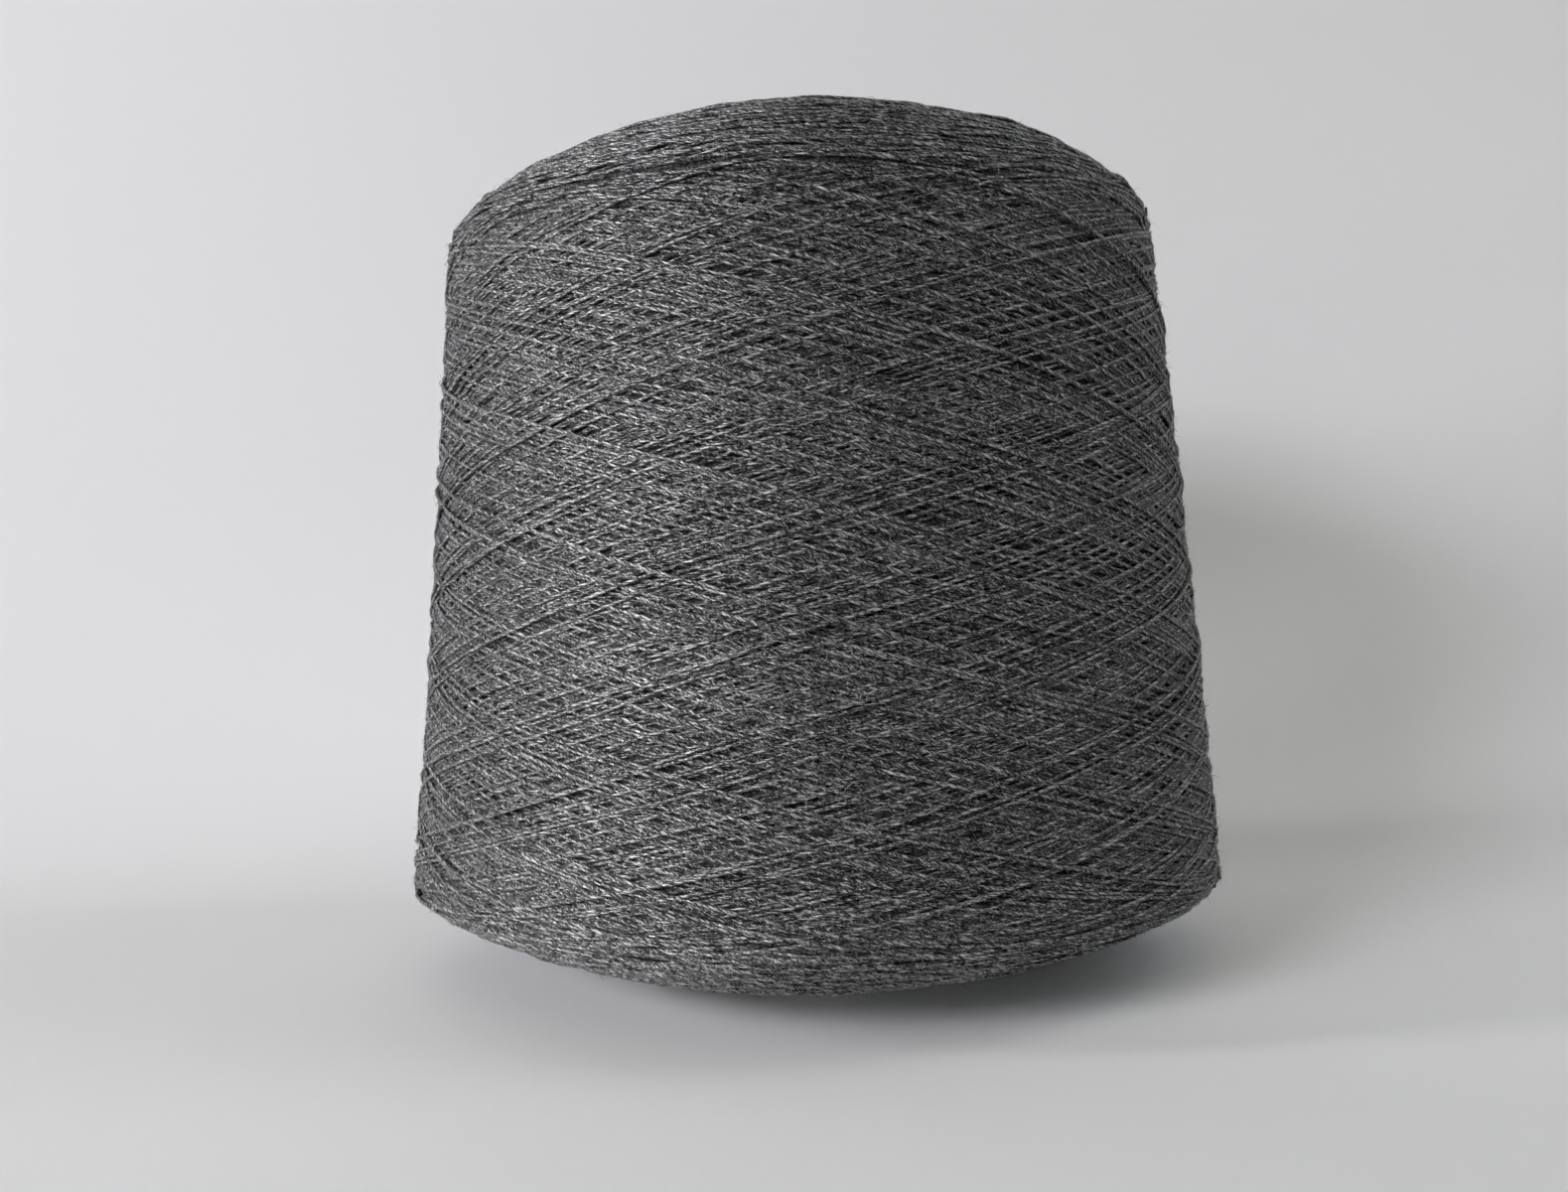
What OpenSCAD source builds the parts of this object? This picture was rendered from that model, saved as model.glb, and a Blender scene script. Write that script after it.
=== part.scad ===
// Cone of wound yarn: a rolled paper former that carries a cross-wound package of one yarn.
// Millimetres, +Z up. The origin is the centre of the former's base, on the surface it stands on.

/* [Paper former] */
// Length of the former along its axis
former_length = 170; // [168:1:200]
// Outside radius of the former at its base
former_base_r = 32; // [29:0.5:36]
// Outside radius of the former at its nose, before the edge is rounded
former_nose_r = 19.1; // [18.7:0.1:24]
// Thickness of the rolled paper wall
former_wall = 2.5; // [1.5:0.1:2.8]
// Radius of the straight bore inside the rolled nose
nose_bore_r = 16; // [14:0.1:16.3]
// Length of the straight bore inside the rolled nose
nose_land = 6; // [3:0.5:15]
// Radius of the rounded edge of the nose
nose_round = 1.2; // [0.5:0.1:1.8]
// Bevel on both corners of the base rim
rim_bevel = 0.4; // [0.1:0.1:0.7]

/* [Yarn package] */
// Radius of the widest ring, at the lower edge of the side
edge_r = 80; // [70:0.5:90]
// Radius of the shoulder, at the upper edge of the side
shoulder_r = 70; // [60:0.5:78]
// Height of the sloping side between the lower edge and the shoulder
side_h = 127.8; // [100:0.2:130]
// Radius of the lowest ring of the bulged base end
low_ring_r = 44; // [40:0.5:60]
// Height of the lowest ring above the surface that the former stands on
low_ring_z = 4.2; // [3:0.1:6]
// Height of the base bulge, from the lowest ring to the lower edge
base_bulge_h = 14; // [6:0.2:16]
// Fullness of the base bulge: 1 is a straight cone, 2 is an ellipse
base_fullness = 1.31; // [1.1:0.01:2.4]
// Radius of the crest of the bulged top end
crest_r = 34; // [28:0.5:50]
// Height of the top bulge, from the shoulder to the crest
top_bulge_h = 19; // [8:0.2:22]
// Fullness of the top bulge: 1 is a straight cone, 2 is an ellipse
top_fullness = 1.5; // [1.1:0.01:2.4]
// How far the base end rises from its lowest ring to the former
base_recess = 3; // [1:0.1:6]
// How far the top end falls from its crest to the former
top_recess = 4.2; // [1:0.1:8]
// Clearance between the package and the former
seat_clearance = 0.1; // [0.05:0.05:0.5]

/* [Yarn] */
// Diameter of the twisted yarn
yarn_d = 0.6; // [0.4:0.05:1]
// Gap between two strands where they cross
crossing_gap = 0.5; // [0.45:0.05:1]
// Clearance between a strand and the layer under it
lay_clearance = 0.05; // [0.02:0.01:0.2]

/* [Outer winding] */
// Turns round the package, all told
turns = 24; // [18:1:24]
// Runs between the two edges of the side, an odd number
traverses = 15; // [7:2:15]
// Turns laid on the base bulge before the first run
base_turns = 4; // [1:0.5:5]
// How far inside each edge of the side the yarn turns back
turn_back = 2.5; // [1.5:0.1:8]
// Roundness of the turn back: near 0 is a wave, near 1 is a sharp corner
turn_sharpness = 0.97; // [0.5:0.01:0.99]
// Distance of the winding's first turn from the lowest ring, and of its last from the crest
bulge_margin = 5; // [3:0.5:12]

/* [Transfer tail] */
// Turns of the tail round the bare base of the former
tail_turns = 2.25; // [1.25:0.25:2.5]
// Rise of the tail in one turn
tail_pitch = 1.2; // [1.1:0.05:1.3]
// Height of the tail's first turn
tail_z = 1.8; // [1.2:0.1:2]

/* [Hidden] */
smooth = 120;
rings_per_turn = 24;
tube_sides = 6;
yarn_r = yarn_d / 2;
ring_step = 360 / rings_per_turn;
// A straight piece between two rings dips this share of its radius under the arc that it stands for
dip_share = 1 - cos(ring_step / 2);
least_gap_wanted = 0.4;

// ---------- the former's slope ----------
slope = (former_base_r - former_nose_r) / former_length;
function former_r(z) = former_base_r - slope * z;

// ---------- the package's outline ----------
bulge_steps = 20;
recess_steps = 8;
edge_z = low_ring_z + base_bulge_h;
shoulder_z = edge_z + side_h;
crest_z = shoulder_z + top_bulge_h;
base_end_z = low_ring_z + base_recess;
top_end_z = crest_z - top_recess;

// Share of a bulge's width (across) and height (up) at the angle u
function across(u, fullness) = pow(sin(u), 2 / fullness);
function up(u, fullness) = 1 - pow(cos(u), 2 / fullness);

base_bulge = [
    for (i = [0:bulge_steps])
        let (u = 90 * i / bulge_steps)
        [low_ring_r + (edge_r - low_ring_r) * across(u, base_fullness),
         low_ring_z + base_bulge_h * up(u, base_fullness)]
];
top_bulge = [
    for (i = [bulge_steps:-1:0])
        let (u = 90 * i / bulge_steps)
        [crest_r + (shoulder_r - crest_r) * across(u, top_fullness),
         crest_z - top_bulge_h * up(u, top_fullness)]
];
outline = concat(base_bulge, top_bulge);

// An end face runs in to the former along a parabola
function recess(ring_r, ring_z, end_z) = [
    for (i = [1:recess_steps])
        let (share = i / recess_steps, seat_r = former_r(end_z) + seat_clearance)
        [ring_r + (seat_r - ring_r) * share, ring_z + (end_z - ring_z) * share * share]
];
function reversed(list) = [for (i = [len(list) - 1:-1:0]) list[i]];

// ---------- places on the outline, by their distance along it from the lowest ring ----------
function running_length(list, i = 0, so_far = 0) =
    i == len(list) - 1
        ? [so_far]
        : concat([so_far], running_length(list, i + 1, so_far + norm(list[i + 1] - list[i])));
lengths = running_length(outline);
radius_table = [for (i = [0:len(outline) - 1]) [lengths[i], outline[i][0]]];
height_table = [for (i = [0:len(outline) - 1]) [lengths[i], outline[i][1]]];
edge_at = lengths[bulge_steps];
shoulder_at = lengths[bulge_steps + 1];
crest_at = lengths[len(lengths) - 1];

function unit(v) = v / norm(v);
function outline_r(s) = lookup(s, radius_table);
function outline_z(s) = lookup(s, height_table);
// The outward direction at s, as a radius and a height
function outward(s, d = 0.4) =
    let (along = unit([outline_r(s + d) - outline_r(s - d), outline_z(s + d) - outline_z(s - d)]))
    [along[1], -along[0]];

// ---------- a round strand along a path of [point, outward direction] ----------
function ring(at, along, out) =
    let (a = unit(along), n = unit(out - a * (out * a)), b = cross(a, n))
    [for (i = [0:tube_sides - 1]) at + yarn_r * (cos(360 * i / tube_sides) * n + sin(360 * i / tube_sides) * b)];

function heading(path, k) =
    (k == 0 ? [0, 0, 0] : unit(path[k][0] - path[k - 1][0]))
    + (k == len(path) - 1 ? [0, 0, 0] : unit(path[k + 1][0] - path[k][0]));

module strand(path) {
    last = len(path) - 1;
    points = [for (k = [0:last]) each ring(path[k][0], heading(path, k), path[k][1])];
    walls = [
        for (k = [0:last - 1], i = [0:tube_sides - 1])
            let (a = k * tube_sides + i, b = k * tube_sides + (i + 1) % tube_sides)
            each [[a, a + tube_sides, b], [b, a + tube_sides, b + tube_sides]]
    ];
    start_cap = [for (i = [1:tube_sides - 2]) [0, i, i + 1]];
    end = last * tube_sides;
    end_cap = [for (i = [1:tube_sides - 2]) [end, end + i + 1, end + i]];
    polyhedron(points = points, faces = concat(walls, start_cap, end_cap));
}

// The end of a strand bends down from its run and goes in straight, square to the layer under it.
// It starts at "at" on the run; "away" is the run's direction seen from there, and "out" is outward.
end_bend_steps = 3;
function plunge(at, away, out) =
    let (centre = at - out * yarn_d)
    concat(
        [for (i = [1:end_bend_steps])
            let (b = 90 * i / end_bend_steps)
            [centre + yarn_d * (cos(b) * out - sin(b) * away), cos(b) * out - sin(b) * away]],
        [[centre - yarn_d * away - yarn_d * out, -away]]
    );

// Least gap between the strand's turns: rings of all turns lie on the same half planes, so the pieces
// between two neighbouring half planes are compared pair by pair, each at its closest
function closest(d0, d1) =
    let (e = d1 - d0, u = max(0, min(1, -(d0 * e) / max(e * e, 0.000001))))
    norm(d0 + u * e);
function least_gap(points) =
    min([
        for (i = [0:len(points) - 2], j = [i + rings_per_turn:rings_per_turn:len(points) - 2])
            closest(points[i] - points[j], points[i + 1] - points[j + 1])
    ]) - yarn_d;

// ---------- the outer winding's path ----------
last_ring = turns * rings_per_turn;
base_rings = base_turns * rings_per_turn;
// Each run goes a little past one turn, so that the runs spread evenly round the package
run_rings = rings_per_turn * (1 + 1 / (traverses + 1));
top_start = base_rings + traverses * run_rings;
low_turn = edge_at + turn_back;
high_turn = shoulder_at - turn_back;

// 0 at the lower turn, 1 at the upper turn, for x counted in runs
function wave(x) = 0.5 - asin(turn_sharpness * cos(180 * x)) / (2 * asin(turn_sharpness));

// A run up lies on the inner level, 0, and a run down on the outer level, 1
level_change = 0.08;
function level(x) =
    x < 0.5 || x > traverses - 0.5
        ? 0
        : (1 - max(-1, min(1, sin(180 * x) / level_change))) / 2;

function place(k) =
    k <= base_rings
        ? bulge_margin + (edge_at - bulge_margin) * k / base_rings
        : k < top_start
            ? low_turn + (high_turn - low_turn) * wave((k - base_rings) / run_rings)
            : shoulder_at + (crest_at - bulge_margin - shoulder_at) * (k - top_start) / (last_ring - top_start);

function wound(k) =
    let (
        s = place(k),
        n = outward(s),
        r = outline_r(s),
        lift = yarn_r + lay_clearance + r * dip_share * max(n[0], 0)
            + level((k - base_rings) / run_rings) * (yarn_d + crossing_gap),
        turn = ring_step * k,
        across_r = r + n[0] * lift
    )
    [[across_r * cos(turn), across_r * sin(turn), outline_z(s) + n[1] * lift],
     [n[0] * cos(turn), n[0] * sin(turn), n[1]]];

winding_run = [for (k = [0:last_ring]) wound(k)];
function away_at_start(path) = unit(path[1][0] - path[0][0]);
function away_at_end(path) = let (n = len(path)) unit(path[n - 2][0] - path[n - 1][0]);
winding_path = concat(
    reversed(plunge(winding_run[0][0], away_at_start(winding_run), winding_run[0][1])),
    winding_run,
    plunge(winding_run[last_ring][0], away_at_end(winding_run), winding_run[last_ring][1])
);

// ---------- the transfer tail's path ----------
tail_rings = round(tail_turns * rings_per_turn);
tail_lift = yarn_r + lay_clearance + former_base_r * dip_share;
climb_rings = 4;
// After its turns the tail climbs steadily more steeply into the package's base end
tail_top = base_end_z + yarn_d;
tail_bend_z = tail_z + tail_pitch * tail_rings / rings_per_turn;
function tail_height(k) =
    k <= tail_rings
        ? tail_z + tail_pitch * k / rings_per_turn
        : tail_bend_z + (tail_top - tail_bend_z) * pow((k - tail_rings) / climb_rings, 2);
tail_run = [
    for (k = [0:tail_rings + climb_rings])
        let (z = tail_height(k), turn = ring_step * k, r = former_r(z) + tail_lift)
        [[r * cos(turn), r * sin(turn), z], [cos(turn), sin(turn), slope]]
];
tail_end = tail_run[len(tail_run) - 1];
tail_path = concat(tail_run, [[tail_end[0] + [0, 0, yarn_d], tail_end[1]]]);

function points_of(path) = [for (p = path) p[0]];
echo(str("outer_winding, least gap to itself (mm): ", least_gap(points_of(winding_run))));
echo(str("transfer_tail, least gap to itself (mm): ", least_gap(points_of(tail_run))));

// ---------- the pieces ----------
// A rolled paper cone, open right through, with a rounded nose and a bevelled base rim
module cone_former() {
    land_z = former_length - nose_land;
    roll = former_nose_r - former_wall - nose_bore_r;
    inner = former_base_r - former_wall;
    color("burlywood")
        rotate_extrude($fn = smooth)
        polygon(concat(
            [
                [inner + rim_bevel, 0],
                [former_base_r - rim_bevel, 0],
                [former_r(rim_bevel), rim_bevel],
                [former_r(former_length - nose_round), former_length - nose_round]
            ],
            [for (i = [1:6])
                [former_nose_r - nose_round * (1 - cos(15 * i)),
                 former_length - nose_round * (1 - sin(15 * i))]],
            [
                [nose_bore_r + rim_bevel, former_length],
                [nose_bore_r, former_length - rim_bevel],
                [nose_bore_r, land_z],
                [former_r(land_z - roll) - former_wall, land_z - roll],
                [former_r(rim_bevel) - former_wall, rim_bevel]
            ]
        ));
}

// The first turns of the yarn, wound on the bare base of the former and led up into the package
module transfer_tail() {
    color("dimgray")
        strand(tail_path);
}

// All the inner layers of the yarn as one solid, bulged at both ends and bored to fit the former
module yarn_package() {
    color("dimgray")
        rotate_extrude($fn = smooth)
        polygon(concat(
            reversed(recess(low_ring_r, low_ring_z, base_end_z)),
            outline,
            recess(crest_r, crest_z, top_end_z)
        ));
}

// The outermost layer: one strand that spirals out over the base bulge, crosses the side to and fro
// and spirals in over the top bulge
module outer_winding() {
    color("gray")
        strand(winding_path);
}

cone_former();
transfer_tail();
yarn_package();
outer_winding();
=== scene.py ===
"""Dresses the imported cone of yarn: thousands of crossing strands laid one after another over a soft core,
loose fibres, the paper former, and a pale seamless studio with a soft key light from the left.
The yarn's lengths are in mm until its meshes are made, and the studio's are in metres."""

import math

import bpy
import numpy as np
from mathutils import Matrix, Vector


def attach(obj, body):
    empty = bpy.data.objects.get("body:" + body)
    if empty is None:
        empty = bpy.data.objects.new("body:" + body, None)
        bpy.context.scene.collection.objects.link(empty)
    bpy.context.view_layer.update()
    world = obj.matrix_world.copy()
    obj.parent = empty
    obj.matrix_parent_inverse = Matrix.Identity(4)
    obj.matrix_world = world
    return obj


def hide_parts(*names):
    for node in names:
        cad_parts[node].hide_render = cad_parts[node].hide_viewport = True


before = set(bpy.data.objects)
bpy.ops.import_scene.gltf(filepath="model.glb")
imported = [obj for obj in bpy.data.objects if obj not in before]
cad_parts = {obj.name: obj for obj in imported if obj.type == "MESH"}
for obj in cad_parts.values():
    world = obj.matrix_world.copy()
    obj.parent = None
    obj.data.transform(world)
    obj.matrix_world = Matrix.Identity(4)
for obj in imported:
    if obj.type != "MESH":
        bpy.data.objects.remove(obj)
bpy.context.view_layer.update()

MM = 0.001
TAU = 2 * math.pi
SEED = 20

# ---------- the package's outline, fitted to the photograph ----------
LOW_R, LOW_Z = 44.0, 4.0
EDGE_R, EDGE_Z = 81.0, 17.8
SHOULDER_R, SHOULDER_Z = 71.0, 145.6
CREST_R, CREST_Z = 34.0, 165.2
BASE_FULLNESS, TOP_FULLNESS = 1.31, 1.5
BASE_SEAT_R, BASE_SEAT_Z = 31.8, 7.2
TOP_SEAT_R, TOP_SEAT_Z = 19.9, 160.8
FORMER_BASE_R, FORMER_NOSE_R, FORMER_LENGTH = 32.0, 19.1, 170.0
SEAT_POINTS, BULGE_POINTS = 60, 200
LINE_SMOOTHING, OUTWARD_SMOOTHING = 21, 15
RUNNING_ON = {"mode": "reflect", "reflect_type": "odd"}
CELL = 0.15


def eased(x):
    x = np.clip(x, 0, 1)
    return x * x * (3 - 2 * x)


def smoothed(values, count, **ends):
    """A running mean over count samples. The ends say how the values go on past the first and the last."""
    kernel = np.hanning(count + 2)[1:-1]
    return np.convolve(np.pad(values, count // 2, **ends), kernel / kernel.sum(), "valid")


def former_r(z):
    return FORMER_BASE_R - (FORMER_BASE_R - FORMER_NOSE_R) * z / FORMER_LENGTH


def bulge(r0, r1, z0, z1, fullness):
    u = np.linspace(0, math.pi / 2, BULGE_POINTS)
    up = 1 - np.clip(np.cos(u), 0, 1) ** (2 / fullness)
    return r0 + (r1 - r0) * np.sin(u) ** (2 / fullness), z0 + (z1 - z0) * up


def outline():
    """The package's outline from the former at the base to the former at the top, a point for each cell."""
    share = np.linspace(0, 1, SEAT_POINTS)
    base_r, base_z = bulge(LOW_R, EDGE_R, LOW_Z, EDGE_Z, BASE_FULLNESS)
    top_r, top_z = bulge(CREST_R, SHOULDER_R, CREST_Z, SHOULDER_Z, TOP_FULLNESS)
    inner = share[::-1]
    r = np.concatenate([
        LOW_R + (BASE_SEAT_R - LOW_R) * inner, base_r[1:], top_r[::-1],
        (CREST_R + (TOP_SEAT_R - CREST_R) * share)[1:],
    ])
    z = np.concatenate([
        LOW_Z + (BASE_SEAT_Z - LOW_Z) * inner**2, base_z[1:], top_z[::-1],
        (CREST_Z + (TOP_SEAT_Z - CREST_Z) * share**2)[1:],
    ])
    length = np.concatenate([[0], np.cumsum(np.hypot(np.diff(r), np.diff(z)))])
    s = np.arange(0, length[-1], CELL)
    r, z = (smoothed(np.interp(s, length, v), LINE_SMOOTHING, **RUNNING_ON) for v in (r, z))
    return s, r, z


def outward(r, z):
    """The outline's outward direction at each of its points."""
    along_r, along_z = np.gradient(r), np.gradient(z)
    length = np.hypot(along_r, along_z)
    return (smoothed(v, OUTWARD_SMOOTHING, **RUNNING_ON) for v in (along_z / length, -along_r / length))


LINE_S, LINE_R, LINE_Z = outline()
OUT_R, OUT_Z = outward(LINE_R, LINE_Z)
ROWS, COLUMNS = len(LINE_S), 3360
LAST_S = LINE_S[-1]


def place_of(r, z):
    return LINE_S[np.argmin((LINE_R - r) ** 2 + (LINE_Z - z) ** 2)]


EDGE_S, SHOULDER_S = place_of(EDGE_R, EDGE_Z), place_of(SHOULDER_R, SHOULDER_Z)

# ---------- the bed: the height of the yarn laid so far, over the outline ----------
YARN_R = 0.3
READ_AT = np.array([-0.85, -0.45, 0, 0.45, 0.85]) * YARN_R
WRITE_AT = np.array([-0.95, -0.7, -0.35, 0, 0.35, 0.7, 0.95]) * YARN_R
SETTLE_EVERY = 24
BLOCK_S, BLOCK_A = 8, 40
BLOCK_SOFTENINGS = 2
INSIDE = 1.001

bed = np.zeros((ROWS, COLUMNS), np.float32)
strands = []
settled = []


def block_mean():
    """The bed's mean height over blocks of cells, softened round and along the package."""
    rows, columns = ROWS // BLOCK_S, COLUMNS // BLOCK_A
    coarse = bed[: rows * BLOCK_S].reshape(rows, BLOCK_S, columns, BLOCK_A).mean((1, 3))
    for _ in range(BLOCK_SOFTENINGS):
        coarse = (np.roll(coarse, 1, 1) + 2 * coarse + np.roll(coarse, -1, 1)) / 4
        padded = np.pad(coarse, ((1, 1), (0, 0)), mode="edge")
        coarse = (padded[:-2] + 2 * coarse + padded[2:]) / 4
    return coarse


def sample_blocks(coarse, s, turn):
    """A block map's values at places, blended between blocks."""
    y = np.clip(s / (CELL * BLOCK_S) - 0.5, 0, coarse.shape[0] - INSIDE)
    x = (turn / TAU * coarse.shape[1] - 0.5) % coarse.shape[1]
    i, j = y.astype(int), x.astype(int) % coarse.shape[1]
    fy, fx = y - i, x - np.floor(x)
    k = (j + 1) % coarse.shape[1]
    low = coarse[i, j] * (1 - fx) + coarse[i, k] * fx
    high = coarse[i + 1, j] * (1 - fx) + coarse[i + 1, k] * fx
    return low * (1 - fy) + high * fy


def whole_bed_from(coarse):
    """A block map blended up to one value for each cell."""
    y = np.clip(np.arange(ROWS) / BLOCK_S - 0.5, 0, coarse.shape[0] - INSIDE)
    x = (np.arange(COLUMNS) / BLOCK_A - 0.5) % coarse.shape[1]
    i, j = y.astype(int), x.astype(int)
    fy, fx = (y - i).astype(np.float32)[:, None], (x - j).astype(np.float32)
    tall = coarse[i] * (1 - fy) + coarse[i + 1] * fy
    return tall[:, j] * (1 - fx) + tall[:, (j + 1) % coarse.shape[1]] * fx


def settle_bed():
    """Presses the bed back to the outline, as a package does under its tension, and notes by how much."""
    coarse = block_mean()
    settled.append(coarse)
    bed[:] -= whole_bed_from(coarse)


def cells(s, turn):
    row = np.clip(np.rint(s / CELL).astype(int), 0, ROWS - 1)
    return row, np.rint(turn * (COLUMNS / TAU)).astype(int) % COLUMNS


def beside(s, turn, offsets):
    """For each sideways offset from a strand's middle, the cells and the strand's half height there."""
    r = np.interp(s, LINE_S, LINE_R)
    ds, da = np.gradient(s), np.gradient(turn) * r
    length = np.hypot(ds, da) + 1e-9
    side_s, side_a = da / length, -ds / length
    for k in offsets:
        row, column = cells(s + side_s * k, turn + side_a * k / r)
        yield row, column, math.sqrt(YARN_R**2 - k * k)


# ---------- laying one strand ----------
SINK, SETTLE = 0.26, 0.8
TAUT_REACH, TAUT_RADIUS = 5.0, 60.0
GROUP, LONG_SOFTENING, SHORT_SOFTENING = 3, 9, 7
RING_STEP, TURN_STEP, TURN_REACH = 2.25, 1.2, 6
FAR_DOWN = -1e9


def taut(height, step):
    """The line of a taut strand over bumps, on a round package."""
    out = height.copy()
    for k in range(1, int(TAUT_REACH / step) + 1):
        dip = (k * step) ** 2 / (2 * TAUT_RADIUS)
        out[k:] = np.maximum(out[k:], height[:-k] - dip)
        out[:-k] = np.maximum(out[:-k], height[k:] - dip)
    return out


def ring_places(s):
    """Which cells of a strand get a ring of the tube: more where it turns back near an edge."""
    near_edge = np.minimum(np.abs(s - EDGE_S), np.abs(s - SHOULDER_S)) < TURN_REACH
    share = np.cumsum(CELL / np.where(near_edge, TURN_STEP, RING_STEP))
    return np.flatnonzero(np.diff(np.floor(share), prepend=-1) > 0)


def resting_height(s, turn, sink, settle):
    """A strand's height on the bed. It follows what lies under it, softened as a taut soft yarn does."""
    support = np.full(len(s), FAR_DOWN)
    for row, column, rise in beside(s, turn, READ_AT):
        support = np.maximum(support, bed[row, column] + rise)
    whole = len(s) // GROUP * GROUP
    coarse = support[:whole].reshape(-1, GROUP).max(1)
    held = taut(coarse, CELL * GROUP)
    line = settle * smoothed(coarse, LONG_SOFTENING, mode="edge") + (1 - settle) * held - sink
    line = smoothed(line, SHORT_SOFTENING, mode="edge")
    return np.interp(np.arange(len(s)), np.arange(len(line)) * GROUP + GROUP / 2 - 0.5, line)


def lay(s, turn, kind, sink=SINK, settle=SETTLE, dive=0.0, most=math.inf):
    """Lays a strand on the bed, by dive lower than it would rest, and no higher than most."""
    height = np.minimum(resting_height(s, turn, sink, settle) - dive, most)
    for row, column, rise in beside(s, turn, WRITE_AT):
        top = (height + rise).astype(np.float32)
        bed[row, column] = np.maximum(bed[row, column], top)
    pick = ring_places(s)
    strands.append((s[pick], turn[pick], height[pick], kind, len(settled)))
    if len(strands) % SETTLE_EVERY == 0:
        settle_bed()


# ---------- winding the package ----------
TURN_SHARPNESS = 0.97
RUNS, NEW_RUNS, NEW_FADE = 640, 70, 20
NEW_RISE, NEW_SETTLE = 0.045, 0.08
TURNS_A_RUN = 1.0625
RUN_DRIFT, RUN_JITTER = 0.00112, 0.0028
DRIFT_SWAY, DRIFT_SWAY_STEP = 0.4, 0.05
RUN_LOW, RUN_HIGH = (-0.8, 2.4), (-0.6, 2.2)
RUN_WANDER, SIDE_MEAN_R = (32, 0.4), 76
ARC_HALF_DEG, ARC_DEPTH = (32, 80), (3.0, 9.0)
ARC_LEAN, ARC_BOW, ARC_WANDER, ARC_LEAST = 0.25, 1.8, (30, 0.35), 40
END_MARGIN, FACE_MARGIN, FACE_JITTER, FACE_PAST_EDGE = 0.6, 0.8, 0.8, 1.0
BASE_ARCS_A_MM, TOP_ARCS_A_MM = 15, 16
EDGE_TURN_MID, EDGE_TURN_HALF = math.radians(201), math.radians(15)
EDGE_TURN_PLACES, EDGE_TURN_BOW, EDGE_TURN_CELLS = (0.25, 0.8), 1.5, 320
EDGE_TURN_DIVE, EDGE_TURN_DIVE_POWER, EDGE_TURN_MOST = 0.9, 5, 0.45


def wander(rng, spacing, size, count):
    """A smooth random walk about 0 along a strand of count cells."""
    knots = rng.normal(size=max(4, int(count * CELL / spacing) + 3)) * size
    x = np.linspace(0, len(knots) - 1, count)
    i = np.minimum(np.floor(x).astype(int), len(knots) - 2)
    f = eased(x - i)
    return knots[i] * (1 - f) + knots[i + 1] * f


def climb(x):
    """How far up the side a run is, at each share of its length: a steady climb with soft ends."""
    return 0.5 - np.arcsin(TURN_SHARPNESS * np.cos(math.pi * x)) / (2 * math.asin(TURN_SHARPNESS))


def lay_run(rng, upward, turn0, turn1, newness):
    """One run of the yarn from one edge of the side to the other. The newest runs stand proudest."""
    low = EDGE_S + rng.uniform(*RUN_LOW)
    high = SHOULDER_S - rng.uniform(*RUN_HIGH)
    count = int((turn1 - turn0) * SIDE_MEAN_R / CELL)
    x = np.linspace(0, 1, count)
    share = climb(x) if upward else 1 - climb(x)
    s = low + (high - low) * share + wander(rng, *RUN_WANDER, count)
    sink, settle = SINK - NEW_RISE * newness, SETTLE - NEW_SETTLE * newness
    lay(s, turn0 + (turn1 - turn0) * x, "side", sink, settle)


def lay_arc(rng, peak_s, outward_sign, kind):
    """An older turn on an end face: its middle reaches furthest in, and newer turns cover its ends."""
    half = math.radians(rng.uniform(*ARC_HALF_DEG))
    depth = rng.uniform(*ARC_DEPTH)
    r = float(np.interp(peak_s, LINE_S, LINE_R))
    count = max(ARC_LEAST, int(2 * half * r / CELL))
    x = np.linspace(-1, 1, count)
    lean = rng.uniform(-ARC_LEAN, ARC_LEAN)
    bow = np.abs(x + lean * (1 - x * x)) ** ARC_BOW
    s = peak_s + outward_sign * depth * bow + wander(rng, *ARC_WANDER, count)
    turn = rng.uniform(0, TAU) + half * x
    lay(np.clip(s, END_MARGIN, LAST_S - END_MARGIN), turn, kind)


def lay_face(rng, inner_s, outer_s, per_mm, kind):
    """All the turns of an end face, the innermost first."""
    sign = 1 if outer_s > inner_s else -1
    count = int(abs(outer_s - inner_s) * per_mm)
    for place in np.linspace(inner_s, outer_s, count):
        lay_arc(rng, place + rng.normal() * FACE_JITTER, sign, kind)


def lay_edge_turns():
    """Turns in the one open place of the base edge. Their ends dive under the strands beside them."""
    x = np.linspace(-1, 1, EDGE_TURN_CELLS)
    turn = EDGE_TURN_MID + EDGE_TURN_HALF * x
    dive = EDGE_TURN_DIVE * np.abs(x) ** EDGE_TURN_DIVE_POWER
    for place in EDGE_TURN_PLACES:
        lay(EDGE_S + place + EDGE_TURN_BOW * x * x, turn, "side", dive=dive, most=EDGE_TURN_MOST)


def wind():
    rng = np.random.default_rng(SEED)
    lay_face(rng, FACE_MARGIN, EDGE_S + FACE_PAST_EDGE, BASE_ARCS_A_MM, "base")
    lay_face(rng, LAST_S - FACE_MARGIN, SHOULDER_S - FACE_PAST_EDGE, TOP_ARCS_A_MM, "top")
    turn, drift = 0.0, 0.0
    for i in range(RUNS):
        drift += RUN_DRIFT * (1 + DRIFT_SWAY * math.sin(i * DRIFT_SWAY_STEP))
        target = (i + 1) * TURNS_A_RUN * TAU + (drift + rng.normal() * RUN_JITTER) * TAU
        lay_run(rng, i % 2 == 0, turn, target, eased((i - RUNS + NEW_RUNS) / NEW_FADE))
        turn = target
    lay_edge_turns()


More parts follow.
